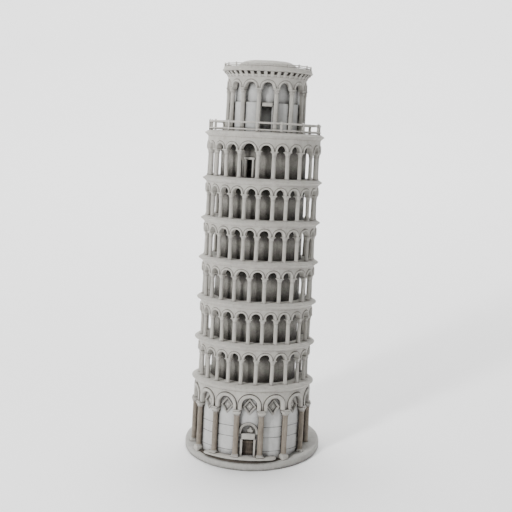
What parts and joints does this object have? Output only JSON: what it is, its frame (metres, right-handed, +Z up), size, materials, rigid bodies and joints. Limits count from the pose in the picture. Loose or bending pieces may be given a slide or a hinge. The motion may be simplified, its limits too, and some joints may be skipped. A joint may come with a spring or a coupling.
{
  "type": "miniature landmark model",
  "caption": "Souvenir of a leaning round bell tower with open arcaded galleries, belfry and railings, cast in stone-coloured resin on a round disc.",
  "frame": {"origin": "centre of the disc's flat underside", "axes": "+Z up, the entrance looks along -Y, the tower leans back towards +Y and a little towards +X"},
  "size_m": [0.1102, 0.1325, 0.311],
  "materials": {
    "tower_grey": "matt stone-grey cast resin with a dark wash",
    "disc_grey": "matt mid-grey cast resin",
    "tan_columns": "matt resin painted tan",
    "dark_door": "matt resin painted dark brown"
  },
  "bodies": {
    "root": {"base_disc": "disc_grey", "belfry_arcade": "tower_grey", "belfry_columns": "tower_grey", "belfry_core": "tower_grey", "belfry_door_lintel": "tower_grey", "belfry_parapet": "tower_grey", "corbel_table": "tower_grey", "corbels": "tower_grey", "cornice_1": "tower_grey", "cornice_2": "tower_grey", "cornice_3": "tower_grey", "cornice_4": "tower_grey", "cornice_5": "tower_grey", "cornice_6": "tower_grey", "cornice_7": "tower_grey", "entrance_step": "tower_grey", "gallery_2_arcade": "tower_grey", "gallery_2_columns": "tower_grey", "gallery_2_drum": "tower_grey", "gallery_3_arcade": "tower_grey", "gallery_3_columns": "tower_grey", "gallery_3_drum": "tower_grey", "gallery_4_arcade": "tower_grey", "gallery_4_columns": "tower_grey", "gallery_4_drum": "tower_grey", "gallery_5_arcade": "tower_grey", "gallery_5_columns": "tower_grey", "gallery_5_drum": "tower_grey", "gallery_6_arcade": "tower_grey", "gallery_6_columns": "tower_grey", "gallery_6_drum": "tower_grey", "gallery_7_arcade": "tower_grey", "gallery_7_columns": "tower_grey", "gallery_7_doorway": "tower_grey", "gallery_7_drum": "tower_grey", "ground_arcade": "tower_grey", "ground_column_bases": "tower_grey", "ground_column_capitals": "tower_grey", "ground_column_shafts": "tan_columns", "ground_drum": "tower_grey", "lozenge_frames": "tower_grey", "lozenge_panels": "tower_grey", "plinth": "tower_grey", "portal_door": "dark_door", "portal_hood": "tower_grey", "portal_jambs": "tower_grey", "portal_lintel": "tower_grey", "portal_relief": "tower_grey", "roof_bottom_rail": "tower_grey", "roof_dome": "tower_grey", "roof_rail_posts": "tower_grey", "roof_slab": "tower_grey", "roof_top_rail": "tower_grey", "terrace_bottom_rail": "tower_grey", "terrace_rail_posts": "tower_grey", "terrace_top_rail": "tower_grey"}
  },
  "joints": []
}
